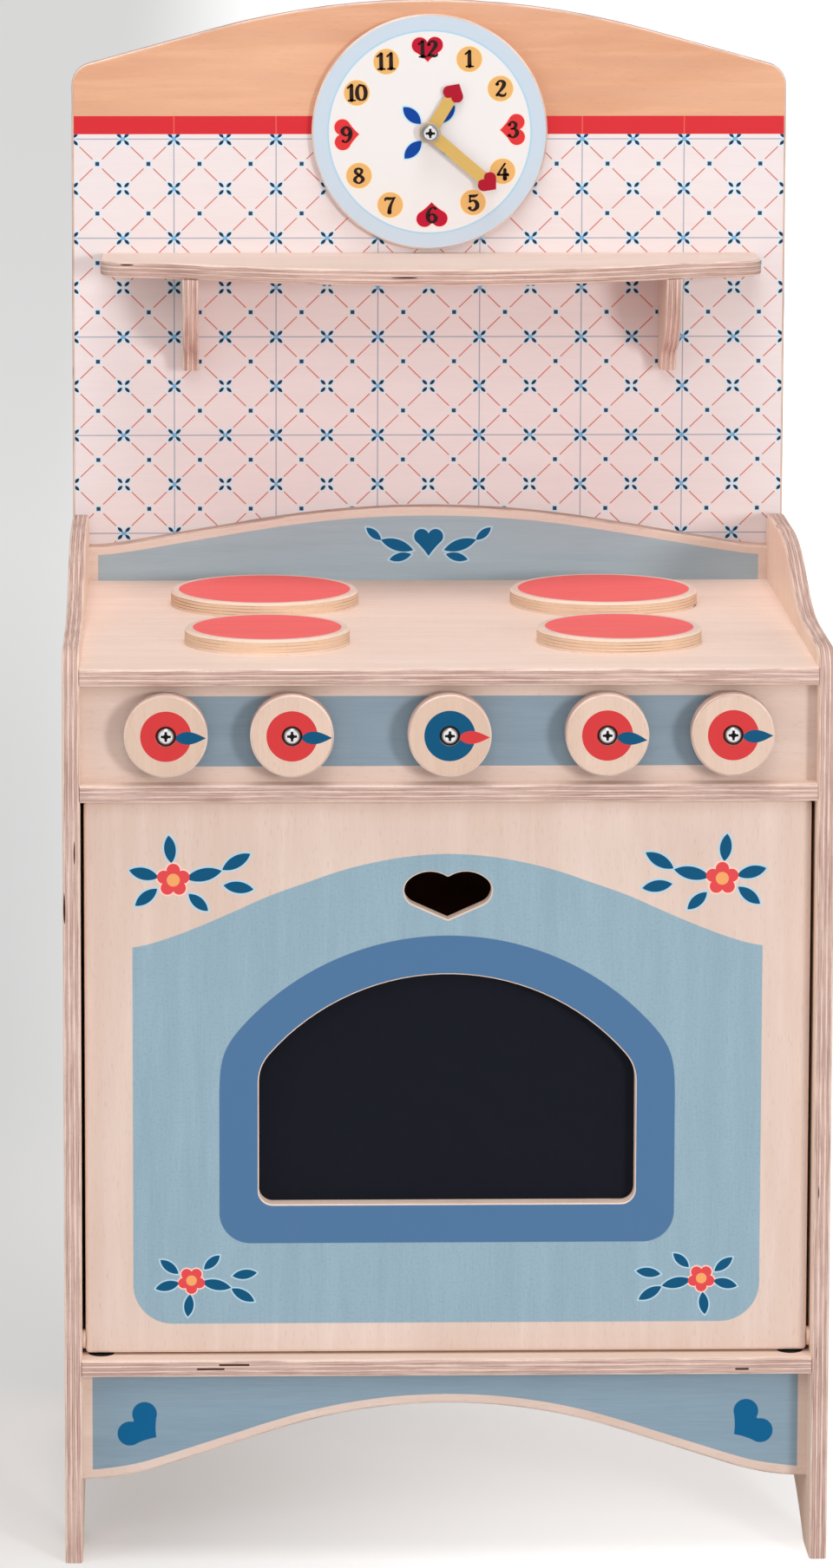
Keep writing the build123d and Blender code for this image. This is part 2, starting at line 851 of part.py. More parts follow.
def clock_hand(back_depth, length, angle, name):
    """Hand with a round hub, a bar and a heart whose tip points outwards."""
    across = (cos(radians(angle)), 0, -sin(radians(angle)))
    plane = Plane(origin=(0, front + back_depth, clock_height), x_dir=across, z_dir=(0, -1, 0))
    bar_length = length - hand_heart_lobe_height
    with BuildPart() as hand:
        with BuildSketch(plane):
            Circle(hand_hub_diameter / 2)
            with Locations((0, bar_length / 2)):
                Rectangle(hand_width, bar_length)
            with Locations(Location((0, length, 0), (0, 0, 180))):
                add(hand_heart)
            Circle(clock_screw_diameter / 2 + running_clearance, mode=Mode.SUBTRACT)
        extrude(amount=hand_thickness)
    export(hand, name)


clock_hand(hour_back_depth, hour_hand_length, hour_hand_angle, "hour_hand")
clock_hand(minute_back_depth, minute_hand_length, minute_hand_angle, "minute_hand")

clock_bolt_length = rearmost_depth - clock_seat_depth
clock_screw = group(
    cross_screw(
        clock_screw_head_diameter, clock_screw_head_height, clock_screw_diameter, clock_bolt_length
    ),
    [Location((0, front + clock_seat_depth, clock_height), heads_forward)],
)
export(clock_screw, "clock_screw")

with BuildPart() as clock_nut:
    with BuildSketch(facing(back_depth)):
        with Locations((0, clock_height)):
            RegularPolygon(clock_nut_width / 2, 6, major_radius=False)
            Circle(clock_screw_diameter / 2 + screw_clearance, mode=Mode.SUBTRACT)
    extrude(amount=-clock_nut_height)
export(clock_nut, "clock_lock_nut")

# -------------------------------------------------------------------------------------- door
window_half = window_width / 2
arch_drop = window_arch_radius - (window_arch_radius**2 - window_half**2) ** 0.5
window_middle = (window_bottom + window_top) / 2
door_middle = (door_bottom + door_top) / 2

pane_bottom = window_bottom - pane_margin
pane_top = window_top + pane_margin
pane_half = window_half + pane_margin
pane_screw_spots = [
    (sign * (pane_half - pane_margin / 2), height)
    for sign in (-1, 1)
    for height in (pane_bottom + pane_margin / 2, pane_top - pane_margin / 2)
]
pane_screw_places = [
    Location((x, front + pane_back_depth, z), heads_back) for x, z in pane_screw_spots
]
pane_screws = group(
    screw_shape(
        pane_screw_head_diameter, pane_screw_head_height, pane_screw_diameter, pane_screw_length
    ),
    pane_screw_places,
)
export(pane_screws, "pane_screws")
pane_holes = group(
    hole_shape(pane_screw_head_diameter, pane_screw_diameter, pane_screw_length), pane_screw_places
)

with BuildPart() as window_pane:
    with BuildSketch(facing(door_back_depth)):
        with Locations((0, window_middle)):
            RectangleRounded(2 * pane_half, pane_top - pane_bottom, pane_corner_radius)
    extrude(amount=-pane_thickness)
    add(pane_holes.part, mode=Mode.SUBTRACT)
export(window_pane, "window_pane")

strike_middle = strike_top - strike_height / 2
strike_screw_place = Location(
    (0, front + door_back_depth + strike_thickness, strike_middle), heads_back
)


def countersunk_shape(clearance):
    """Countersunk screw whose head just fills the strike plate's thickness."""
    shank_radius = pane_screw_diameter / 2 + clearance
    head_radius = shank_radius + strike_thickness
    with BuildPart() as screw:
        with BuildSketch(Plane.XZ):
            with BuildLine():
                Polyline(
                    (0, 0),
                    (head_radius, 0),
                    (shank_radius, -strike_thickness),
                    (shank_radius, -pane_screw_length),
                    (0, -pane_screw_length),
                    close=True,
                )
            make_face()
        revolve(axis=Axis.Z)
    return screw.part


strike_screw = group(countersunk_shape(0.0), [strike_screw_place])
export(strike_screw, "catch_strike_screw")
strike_hole = group(countersunk_shape(screw_clearance), [strike_screw_place])

with BuildPart() as catch_strike:
    with BuildSketch(facing(door_back_depth)):
        with Locations((0, strike_middle)):
            RectangleRounded(strike_width, strike_height, edge_radius)
    extrude(amount=-strike_thickness)
    add(strike_hole.part, mode=Mode.SUBTRACT)
export(catch_strike, "catch_strike")

pin_length = hinge_pin_in_side + door_side_gap + hinge_pin_in_door
pin_middle = inner_width / 2 + hinge_pin_in_side - pin_length / 2
with BuildPart() as hinge_pins:
    with Locations(
        Location((-pin_middle, front + pivot_depth, pivot_height), heads_right),
        Location((pin_middle, front + pivot_depth, pivot_height), heads_right),
    ):
        Cylinder(hinge_pin_diameter / 2, pin_length)
export(hinge_pins, "hinge_pins")

washer_thickness = door_side_gap - washer_play
washer_middle = (inner_width - washer_thickness) / 2
with BuildPart() as hinge_washers:
    with Locations(
        Location((-washer_middle, front + pivot_depth, pivot_height), heads_right),
        Location((washer_middle, front + pivot_depth, pivot_height), heads_right),
    ):
        Cylinder(hinge_washer_diameter / 2, washer_thickness)
        Cylinder(
            hinge_pin_diameter / 2 + screw_clearance, washer_thickness, mode=Mode.SUBTRACT
        )
export(hinge_washers, "hinge_washers")

sharp_heart = heart_sketch(
    heart_width, heart_lobe_height, heart_lobe_radius, heart_notch_height, heart_lobe_turn
)
with BuildSketch() as heart_opening:
    add(sharp_heart)
    tip_and_notch = heart_opening.vertices().filter_by(lambda corner: abs(corner.X) < 0.01)
    fillet(tip_and_notch, heart_corner_radius)

with BuildPart() as door_panel:
    with BuildSketch(facing(door_recess)):
        with Locations((0, door_middle)):
            RectangleRounded(door_width, door_top - door_bottom, door_corner_radius)
    extrude(amount=-door_thickness)
    fillet(door_panel.faces().filter_by(Axis.Y).edges(), door_edge_radius)
    with BuildSketch(facing(door_recess)) as opening:
        with BuildLine():
            spring = window_top - arch_drop
            Line((-window_half, window_bottom), (-window_half, spring))
            ThreePointArc((-window_half, spring), (0, window_top), (window_half, spring))
            Line((window_half, spring), (window_half, window_bottom))
            Line((window_half, window_bottom), (-window_half, window_bottom))
        make_face()
        fillet(opening.vertices().group_by(Axis.Y)[-1], window_haunch_radius)
        fillet(opening.vertices().group_by(Axis.Y)[0], window_sill_radius)
    extrude(amount=-door_thickness, mode=Mode.SUBTRACT)
    with BuildSketch(facing(door_recess)):
        with Locations((0, door_bottom + heart_tip)):
            add(heart_opening.sketch)
    extrude(amount=-door_thickness, mode=Mode.SUBTRACT)
    rims = door_panel.faces().sort_by(Axis.Y)[0].inner_wires()
    fillet([edge for rim in rims for edge in rim.edges()], opening_edge_radius)
    bore_middle = door_width / 2 - hinge_pin_in_door / 2
    with Locations(
        Location((-bore_middle, front + pivot_depth, pivot_height), heads_right),
        Location((bore_middle, front + pivot_depth, pivot_height), heads_right),
    ):
        Cylinder(
            hinge_pin_diameter / 2 + running_clearance,
            hinge_pin_in_door + 2 * bore_end_play,
            mode=Mode.SUBTRACT,
        )
    add(pane_holes.part, mode=Mode.SUBTRACT)
    add(strike_hole.part, mode=Mode.SUBTRACT)
export(door_panel, "door_panel")
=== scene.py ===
import math

import bmesh
import bpy
from mathutils import Matrix, Vector


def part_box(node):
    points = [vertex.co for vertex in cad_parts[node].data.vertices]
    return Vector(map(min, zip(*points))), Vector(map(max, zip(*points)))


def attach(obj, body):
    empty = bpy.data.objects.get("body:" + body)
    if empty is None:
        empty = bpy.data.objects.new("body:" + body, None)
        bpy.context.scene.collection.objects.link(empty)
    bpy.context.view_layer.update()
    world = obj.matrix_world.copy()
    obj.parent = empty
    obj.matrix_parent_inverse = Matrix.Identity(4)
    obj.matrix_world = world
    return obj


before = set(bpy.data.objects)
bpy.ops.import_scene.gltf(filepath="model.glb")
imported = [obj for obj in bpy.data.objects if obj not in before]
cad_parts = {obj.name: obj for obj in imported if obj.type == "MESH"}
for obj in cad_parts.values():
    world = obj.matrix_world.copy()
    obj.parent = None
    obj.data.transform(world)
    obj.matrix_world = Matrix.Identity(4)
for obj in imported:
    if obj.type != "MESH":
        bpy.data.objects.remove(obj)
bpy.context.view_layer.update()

MM = 0.001
FRONT = -0.1702          # where the case's front edges stand, in metres
AXES = {"x": 0, "y": 1, "z": 2}

# Places that prints, screws and numerals share, in millimetres
KNOB_HEIGHT = 485.5
INNER_KNOB, OUTER_KNOB = 89.5, 161     # centres of the knobs on both sides of the middle one
CLOCK_HEIGHT = 801
DIAL_TURN = 1.7          # degrees that the dial is turned anticlockwise on its screw
NUMERAL_RING = 51.2


# ---------------------------------------------------------------- node maths
def linear(red, green, blue):
    """A colour given as 0 to 255 screen values, in the values that shaders take."""
    def channel(value):
        value /= 255
        return value / 12.92 if value <= 0.04045 else ((value + 0.055) / 1.055) ** 2.4
    return channel(red), channel(green), channel(blue), 1.0


class Number:
    """A number that varies over a surface: one socket of a node tree."""

    def __init__(self, surface, socket):
        self.surface, self.socket = surface, socket

    def _maths(self, operation, *others, clamp=False):
        node = self.surface.add("ShaderNodeMath", operation=operation, use_clamp=clamp)
        for index, value in enumerate((self, *others)):
            self.surface.plug(node.inputs[index], value)
        return Number(self.surface, node.outputs[0])

    def __add__(self, other): return self._maths("ADD", other)
    def __radd__(self, other): return self._maths("ADD", other)
    def __sub__(self, other): return self._maths("SUBTRACT", other)
    def __rsub__(self, other): return (self * -1) + other
    def __mul__(self, other): return self._maths("MULTIPLY", other)
    def __truediv__(self, other): return self._maths("DIVIDE", other)
    def __neg__(self): return self * -1
    def __abs__(self): return self._maths("ABSOLUTE")
    def root(self): return self._maths("SQRT")
    def power(self, exponent): return self._maths("POWER", exponent)
    def least(self, other): return self._maths("MINIMUM", other)
    def most(self, other): return self._maths("MAXIMUM", other)
    def soft_most(self, other, reach): return self._maths("SMOOTH_MAX", other, reach)

    def fold(self, step):
        """Distance along repeated steps, from -step/2 to step/2 round each multiple."""
        return self._maths("WRAP", step / 2, -step / 2)

    def inside(self, blur=0.12):
        """1 where a signed distance is below zero, with an edge blur wide."""
        return (self * (-1 / blur))._maths("ADD", 0.5, clamp=True)

    def over(self, low, high):
        """0 below low, 1 above high, smooth between them."""
        node = self.surface.add("ShaderNodeMapRange", interpolation_type="SMOOTHSTEP")
        self.surface.plug(node.inputs["Value"], self)
        node.inputs["From Min"].default_value = low
        node.inputs["From Max"].default_value = high
        return Number(self.surface, node.outputs[0])

    def curve(self, points, drop):
        """A drawn curve through (distance, value) points in millimetres, no value above drop."""
        node = self.surface.add("ShaderNodeFloatCurve")
        line = node.mapping.curves[0]
        reach = points[-1][0]
        scaled = [(at / reach, value / drop) for at, value in points]
        line.points[0].location, line.points[-1].location = scaled[0], scaled[-1]
        for place in scaled[1:-1]:
            line.points.new(*place)
        node.mapping.update()
        self.surface.plug(node.inputs["Value"], self / reach)
        return Number(self.surface, node.outputs[0]) * drop


def distance(across, up):
    return (across * across + up * up).root()


class Surface:
    """A material under construction. Lengths on it are in millimetres, in the row's frame:
    x to the right, d back from the case's front edges, z up."""

    def __init__(self, name):
        self.material = bpy.data.materials.new(name)
        self.material.use_nodes = True
        self.tree = self.material.node_tree
        self.shader = self.tree.nodes["Principled BSDF"]
        coordinates = self.add("ShaderNodeTexCoord")
        self.place = coordinates.outputs["Object"]
        self.metres = self.split(self.place)
        self.x = self.metres[0] * 1000
        self.d = (self.metres[1] - FRONT) * 1000
        self.z = self.metres[2] * 1000
        self.facing = self.split(coordinates.outputs["Normal"])

    def add(self, kind, **settings):
        node = self.tree.nodes.new(kind)
        for name, value in settings.items():
            setattr(node, name, value)
        return node

    def plug(self, socket, value):
        if isinstance(value, Number):
            self.tree.links.new(value.socket, socket)
        elif isinstance(value, bpy.types.NodeSocket):
            self.tree.links.new(value, socket)
        else:
            socket.default_value = value

    def split(self, vector):
        """The x, y and z of a vector socket."""
        node = self.add("ShaderNodeSeparateXYZ")
        self.tree.links.new(vector, node.inputs[0])
        return [Number(self, output) for output in node.outputs]

    def noise(self, scale, detail=2.0, roughness=0.5, distortion=0.0):
        """Noise of about 0 to 1. scale is its features per metre, as one number or as three
        along x, y and z."""
        if not isinstance(scale, list):
            scale = [scale] * 3
        stretch = self.add("ShaderNodeVectorMath", operation="MULTIPLY")
        self.tree.links.new(self.place, stretch.inputs[0])
        stretch.inputs[1].default_value = scale
        node = self.add("ShaderNodeTexNoise")
        self.tree.links.new(stretch.outputs[0], node.inputs["Vector"])
        node.inputs["Scale"].default_value = 1.0
        node.inputs["Detail"].default_value = detail
        node.inputs["Roughness"].default_value = roughness
        node.inputs["Distortion"].default_value = distortion
        return Number(self, node.outputs[0])

    def mix(self, share, below, above):
        """Goes from the colour below to the colour above as share goes from 0 to 1."""
        node = self.add("ShaderNodeMix", data_type="RGBA")
        self.plug(node.inputs[0], share)
        self.plug(node.inputs[6], below)
        self.plug(node.inputs[7], above)
        return node.outputs[2]

    def printed(self, colour, shape, ink, blur=0.12):
        """Ink over a colour inside a flat shape, on faces that look straight forwards."""
        return self.mix(self.in_front(shape, blur), colour, ink)

    def in_front(self, shape, blur=0.12):
        """1 inside a flat shape on faces that look straight forwards, 0 elsewhere."""
        return shape.inside(blur) * (self.facing[1] * -1).over(0.90, 0.97)

    def bump(self, height, depth):
        """Relief from a 0 to 1 height, depth millimetres deep."""
        node = self.add("ShaderNodeBump")
        node.inputs["Strength"].default_value = 1.0
        node.inputs["Distance"].default_value = depth * MM
        self.plug(node.inputs["Height"], height)
        self.tree.links.new(node.outputs[0], self.shader.inputs["Normal"])

    def finish(self, colour, roughness, **constants):
        self.plug(self.shader.inputs["Base Color"], colour)
        self.plug(self.shader.inputs["Roughness"], roughness)
        for name, value in constants.items():
            self.shader.inputs[name.replace("_", " ")].default_value = value
        return self.material


# ------------------------------------------------------------- flat shapes
# Every shape is a signed distance in millimetres, below zero inside it.
def turned(across, up, angle):
    """The same point in axes turned anticlockwise by angle degrees."""
    cos, sin = math.cos(math.radians(angle)), math.sin(math.radians(angle))
    return across * cos + up * sin, up * cos - across * sin


def leaf(across, up, length, width):
    """A pointed leaf lying along across, centred on zero."""
    radius = (length ** 2 + width ** 2) / (4 * width)
    return distance(across, abs(up) + (radius - width / 2)) - radius


def heart(across, up, width, height, hollow=0.02, roundness=0.26):
    """A pointed heart, its point at zero and its lobes above. hollow draws its flanks in and
    roundness is the radius of its lobes, both as shares of its width."""
    lobe = width * roundness
    reach, middle = width / 2 - lobe, height - lobe
    far = math.hypot(reach, middle)
    flank = math.sqrt(far ** 2 - lobe ** 2)
    lean = math.degrees(math.atan2(reach, middle) + math.asin(lobe / far))
    side = abs(across)
    out, run = turned(side, up, -lean)
    drawn_in = run * (flank - run) * (4 * hollow * width / flank ** 2)
    wedge = (out + drawn_in).most(run - flank).most(up - middle)
    return wedge.least(distance(side - reach, up - middle) - lobe)


def pointer(across, up, length, width):
    """A blade with drawn-out points from zero to length along across."""
    share = (across / length).most(0).least(1).power(0.75)
    half = (share * (1 - share) * 4).power(1.2) * (width / 2)
    return (abs(up) - half).most(across - length).most(-across)


def rounded(side_a, side_b, radius):
    """Where two straight edges meet in a corner of that radius."""
    corner = distance((side_a + radius).most(0), (side_b + radius).most(0)) - radius
    return corner.most(side_a.most(side_b).least(corner))


def joined(shapes):
    """The area that any of the shapes covers."""
    first, *others = shapes
    for shape in others:
        first = first.least(shape)
    return first


def rosette(across, up, petals, reach, size, turn):
    """Round petals standing in a ring, the first turn degrees above across."""
    angles = [math.radians(turn + 360 * index / petals) for index in range(petals)]
    return joined([distance(across - reach * math.cos(angle), up - reach * math.sin(angle)) - size
                   for angle in angles])


# --------------------------------------------------------------- colours
PALE_PLY = linear(226, 199, 187)
CROSS_PLY = linear(194, 160, 149)
GLUE_LINE = linear(128, 88, 77)
FACE_PLY = linear(238, 214, 199)
BIRCH = linear(227, 206, 195)
BIRCH_DARK = linear(214, 189, 175)
SKY = linear(151, 176, 189)
SKY_DARK = linear(134, 159, 174)
BAND = linear(76, 114, 153)
BLUE = linear(0, 80, 118)
PALE_BLUE = linear(176, 206, 222)
RED = linear(206, 56, 58)
CORAL = linear(222, 72, 76)
OCHRE = linear(226, 174, 106)
ORANGE = linear(238, 164, 100)


def along(axis, on_axis, across):
    """Noise scales of on_axis features per metre along the named axis and across elsewhere."""
    scale = [across] * 3
    scale[AXES[axis]] = on_axis
    return scale


def board(name, through, low, size, grain, light=BIRCH, dark=BIRCH_DARK, artwork=None, plies=7,
          ply=PALE_PLY, cross_ply=CROSS_PLY, line=GLUE_LINE, streaks=0.6, voids=()):
    """Lacquered birch plywood. through is the axis through the board, low its lower face and
    size its thickness in metres, grain the axis of the face's grain. artwork(surface, colour,
    grain noise) adds the print. ply, cross_ply, line and streaks set the look of the edges,
    and voids are (across, height, length) places of short voids in the front edge."""
    surface = Surface(name)
    # the faces
    cloud = surface.noise(along(grain, 3.2, 11), 3, 0.55, 0.6)
    figure = surface.noise(along(grain, 7, 95), 4, 0.6, 0.4)
    fibre = surface.noise(along(grain, 45, 1100), 2, 0.6)
    fleck = surface.noise(along(grain, 170, 1500), 1, 0.5)
    tone = (cloud * 2.0 + figure * 1.8 - 1.4).most(0).least(1)
    colour = surface.mix(tone, light, dark)
    colour = surface.mix((figure - 0.5) * 0.5, colour, linear(242, 224, 212))
    colour = surface.mix(fleck.over(0.62, 0.74) * 0.2, colour, linear(176, 136, 112))
    colour = surface.mix((fibre - 0.5) * 0.35, colour, linear(186, 150, 130))
    if artwork:
        colour = artwork(surface, colour, figure * 0.6 + fibre * 0.4)
    # the edges: layers counted from the lower face, glue lines between them
    wander = surface.noise(along(through, 260, 20), 2, 0.55)
    layer = ((surface.metres[AXES[through]] - low) / size).most(0.004).least(0.996) * plies
    layer = layer + wander * 0.6 - 0.3
    glue = abs((layer - 0.5).fold(1)).over(0.28, 0.48) * min(plies - 1, 1)
    crossed = (abs((layer * 0.5 - 0.25).fold(1)) * 2).over(0.42, 0.58)
    streak = surface.noise(along(through, 1100, 34), 3, 0.66)
    patch = surface.noise(26, 2, 0.5)
    pores = surface.noise(420, 2, 0.6)
    edge = surface.mix(crossed * (patch * 0.5 + 0.5), ply, cross_ply)
    edge = surface.mix(glue * patch.over(0.25, 0.7) * 0.7, edge, line)
    outer = 1 - (layer.least(plies - layer)).over(0.45, 1.1)
    edge = surface.mix(outer * 0.75, edge, FACE_PLY)
    edge = surface.mix(streak.over(0.40, 0.70) * streaks, edge, linear(148, 108, 98))
    edge = surface.mix(pores.over(0.5, 0.8) * 0.15, edge, linear(150, 110, 98))
    dark_void = surface.noise(along(through, 500, 30), 0, 0.5).over(0.825, 0.84)
    for across, height, length in voids:
        beyond = (abs(surface.x - across) - length / 2 + 0.6).most(0)
        slit = distance(beyond, surface.z - height) - 0.6
        dark_void = dark_void.most(slit.inside(0.3))
    edge = surface.mix(dark_void, edge, linear(66, 40, 34))
    flat = abs(surface.facing[AXES[through]]).over(0.80, 0.90)
    colour = surface.mix(flat, edge, colour)
    shine = (0.42 + cloud * 0.12) * flat + (1 - flat) * (0.62 + pores * 0.12)
    surface.bump(fibre * 0.6 * flat + figure * 0.4 + (1 - flat) * pores, 0.05)
    return surface.finish(colour, shine, Specular_IOR_Level=0.14)


# ------------------------------------------------------------- the prints
# Fall of each arched outline below its crown, as (distance from the middle, fall) points
DOOR_FIELD = ((0, 0), (20, 1.2), (41, 4.6), (61, 9.6), (81, 16.5), (102, 24.1), (122, 33),
              (142, 41.7), (163, 49.6), (175, 53), (185, 54.4))
BACKSPLASH_TOP = ((0, 0), (26, 0.54), (52.5, 2.19), (80, 5.08), (105, 8.75), (150, 16.25),
                  (189, 22.75), (200, 24.1), (210, 24.5))
APRON_ARCH = ((0, 0), (25, 0.96), (50, 3.85), (75, 8.7), (100, 15.6), (125, 23.7), (150, 31.8),
              (165, 36.6), (180, 40.7), (195, 43.1), (210, 44.5))
BORDER = 5.6             # bare wood between a print and an arched edge
# Leaves as (across, up, angle, length, width), about the flower of a sprig of the door and
# about the heart of the backsplash
SPRIG = ((-14, 2.5, 168, 17, 6.0), (-29, 8.5, 150, 15, 5.6), (-30, -3.5, 188, 14, 5.4),
         (13.5, 3.0, 14, 14, 5.6), (12.5, -8.0, -38, 13, 5.2), (1.5, 14.5, 84, 13, 5.4),
         (-11.5, -10.5, 222, 12, 5.0))
SPRAY = ((19.5, 8.0, 18, 21, 7.0), (17.5, 0.5, -14, 14, 5.2), (34.0, 15.0, 40, 12, 4.8))


def leaves(across, up, places):
    return [leaf(*turned(across - leaf_across, up - leaf_up, angle), length, width)
            for leaf_across, leaf_up, angle, length, width in places]


def door_print(surface, colour, grain):
    x, z, side = surface.x, surface.z, abs(surface.x)
    field = rounded(side - 180.5, 138.5 - z, 23).most(z - 413.8 + side.curve(DOOR_FIELD, 60))
    blue = surface.mix(grain.over(0.3, 0.75) * 0.7, SKY, SKY_DARK)
    speckle = surface.noise(620, 3, 0.7).over(0.45, 0.75) * 0.5
    blue = surface.mix(speckle, blue, linear(126, 150, 166))
    colour = surface.printed(colour, field, blue, 0.5)
    arch = distance(x, z - 208.4)
    band = rounded(side - 130.9, 185.9 - z, 18).soft_most(arch - 157.8, 14)
    ink = surface.mix(grain.over(0.3, 0.8) * 0.5, BAND, linear(78, 112, 150))
    colour = surface.printed(colour, band, ink, 0.4)
    # one sprig in each corner, those at the bottom upside down
    for up, centre_x, centre_z, size in ((1, 157, 399, 1.24), (-1, 147, 164, 1.02)):
        u, v = (side - centre_x) / size, (z - centre_z) * (up / size)
        sprig = joined(leaves(u, v, SPRIG))
        petals = rosette(u, v, 5, 4.6, 3.1, 18)
        colour = surface.printed(colour, sprig - 0.8, PALE_BLUE, 0.4)
        colour = surface.printed(colour, petals - 0.7, linear(250, 205, 190), 0.4)
        colour = surface.printed(colour, sprig, BLUE)
        colour = surface.printed(colour, petals, CORAL)
        colour = surface.printed(colour, distance(u, v) - 3.0, ORANGE)
    return colour


def tile_print(surface, colour, grain):
    x, z = surface.x, surface.z
    tiles = surface.in_front(abs(z - 656.8) - 142.5, 0.3)

    def on_tiles(colour, shape, ink, blur, strength=1.0):
        return surface.mix(tiles * shape.inside(blur) * strength, colour, ink)

    ground = surface.mix(grain.over(0.3, 0.75) * 0.5, linear(232, 221, 221), linear(223, 210, 210))
    colour = surface.mix(tiles, colour, ground)
    # the joints between the tiles
    wide, high, first_row = 62.86, 61.3, 735.0
    line_x, line_z = (x - wide / 2).fold(wide), (z - first_row).fold(high)
    grid = abs(line_x).least(abs(line_z)) - 0.35
    colour = on_tiles(colour, grid, linear(148, 158, 177), 0.35, 0.9)
    # u, v run from a node of the diagonal lattice, at (0, 0), to the middle of its cell
    u, v = abs(x.fold(wide / 2)), abs((z - first_row).fold(high / 2))
    half_u, half_v = wide / 4, high / 4
    span = u + v
    dash = (abs(u - v * (half_u / half_v)) * 0.7 - 0.31).most(9.6 - span).most(span - 25.2)
    colour = on_tiles(colour, dash, linear(200, 84, 66), 0.35)
    blade = leaf(*turned(u - 2.35, v - 2.3, 45), 4.2, 2.0)
    halo = (blade - 0.9).least(distance(u, v) - 2.2)
    colour = on_tiles(colour, halo, linear(196, 226, 242), 0.9, 0.8)
    bright = (distance(u, v) - 1.5).most(grid - 0.8)
    colour = on_tiles(colour, bright, linear(110, 172, 216), 0.6)
    colour = on_tiles(colour, blade, linear(24, 46, 76), 0.3)
    spot = (half_u - u).most(half_v - v)
    colour = on_tiles(colour, spot - 2.2, linear(206, 226, 236), 0.7, 0.7)
    colour = on_tiles(colour, spot - 1.25, linear(30, 66, 100), 0.3)
    # the red stripe above them, paler where it crosses a joint
    joint = (abs(line_x) - 0.35).inside(0.4) * 0.55
    red = surface.mix(joint, linear(209, 45, 53), linear(232, 118, 96))
    return surface.printed(colour, abs(z - 804.9) - 5.6, red, 0.3)


def backsplash_print(surface, colour, grain):
    x, z, side = surface.x, surface.z, abs(surface.x)
    field = (z - 569 + BORDER + side.curve(BACKSPLASH_TOP, 30)).most(side - 204.5)
    grey = surface.mix(grain.over(0.3, 0.75), linear(166, 182, 191), linear(156, 172, 182))
    colour = surface.printed(colour, field, grey, 0.4)
    v = z - 537
    motif = joined([heart(x, v - 1.0, 18, 17), *leaves(side, v, SPRAY)])
    colour = surface.printed(colour, motif - 1.0, PALE_BLUE, 0.4)
    return surface.printed(colour, motif, linear(2, 88, 134))


def apron_print(surface, colour, grain):
    side = abs(surface.x)
    field = (88 - side.curve(APRON_ARCH, 50) + BORDER - surface.z).most(side - 204.4)
    blue = surface.mix(grain.over(0.3, 0.75), linear(140, 162, 177), linear(130, 152, 168))
    colour = surface.printed(colour, field, blue, 0.4)
    u, v = turned(side - 167.5, surface.z - 68.6, -53.7)
    between_lobes = (v - 16.4 - abs(u) * 0.5).most(abs(u) - 7).most(10 - v)
    shape = heart(u, v, 28.7, 20.9, 0.02, 0.25).least(between_lobes)
    return surface.printed(colour, shape, linear(0, 94, 142))


def panel_print(surface, colour, grain):
    stripe = (abs(surface.z - 485.2) - 20.3).most(abs(surface.x) - 170)
    blue = surface.mix(grain.over(0.3, 0.75), linear(140, 158, 171), linear(130, 148, 162))
    return surface.printed(colour, stripe, blue, 0.4)


def knob_print(centre_x, disc, blade, lean):
    def artwork(surface, colour, grain):
        u, v = surface.x - centre_x, surface.z - KNOB_HEIGHT
        radius = distance(u, v)
        colour = surface.printed(colour, radius - 14.5, disc)
        colour = surface.printed(colour, pointer(*turned(u - 5.0, v + 0.9, lean), 17.9, 7.4), blade)
        # painted shade: the counterbore round the screw head is coloured dark, standing in for the
        # shade inside it
        counterbore_shade = (radius - 5.95).inside() * (surface.d + 5.7).over(0, 0.2)
        return surface.mix(counterbore_shade * 0.85, colour, linear(62, 38, 32))
    return artwork


def burner_print(centre_x, centre_d, radius):
    def artwork(surface, colour, grain):
        disc = distance(surface.x - centre_x, surface.d - centre_d) - radius
        top = surface.facing[2].over(0.90, 0.97)
        red = surface.mix(grain.over(0.3, 0.8), linear(242, 100, 98), linear(232, 88, 88))
        return surface.mix(disc.inside(0.4) * top, colour, red)
    return artwork


def clock_print(surface, colour, grain):
    x, z = turned(surface.x, surface.z - CLOCK_HEIGHT, DIAL_TURN)
    radius = distance(x, z)
    face = surface.in_front(radius - 90)

    def on_face(colour, shape, ink, blur=0.12):
        return surface.mix(face * shape.inside(blur), colour, ink)

    colour = surface.mix(face, colour, linear(194, 208, 221))
    colour = on_face(colour, radius - 62.3, linear(229, 225, 224), 0.4)
    colour = on_face(colour, abs(radius - 62.4) - 0.45, linear(160, 203, 226), 0.5)
    # hearts at the quarters
    near, far = abs(x), abs(z)
    tip = heart(near.least(far), near.most(far) - 43.2, 19.2, 15.3)
    upright = (far - near).over(-0.01, 0.01)
    ink = surface.mix(upright, linear(216, 50, 52), linear(184, 14, 48))
    colour = on_face(colour, tip - 0.7, linear(250, 214, 206), 0.3)
    colour = on_face(colour, tip, ink)
    # discs at the other hours
    ring, radius_of_disc = 51, 7.8
    centres = [(ring * math.sin(math.radians(angle)), ring * math.cos(math.radians(angle)))
               for angle in (30, 60)]
    disc = joined([distance(near - across, far - up) for across, up in centres]) - radius_of_disc
    colour = on_face(colour, disc - 0.5, linear(250, 222, 180), 0.4)
    colour = on_face(colour, disc, OCHRE)
    # a ring of four leaves round the middle
    centre = leaf(*turned(near - 10.6, far - 10.6, 45), 15, 7.2)
    colour = on_face(colour, centre - 0.9, linear(186, 222, 238), 0.4)
    return on_face(colour, centre, linear(0, 62, 150))


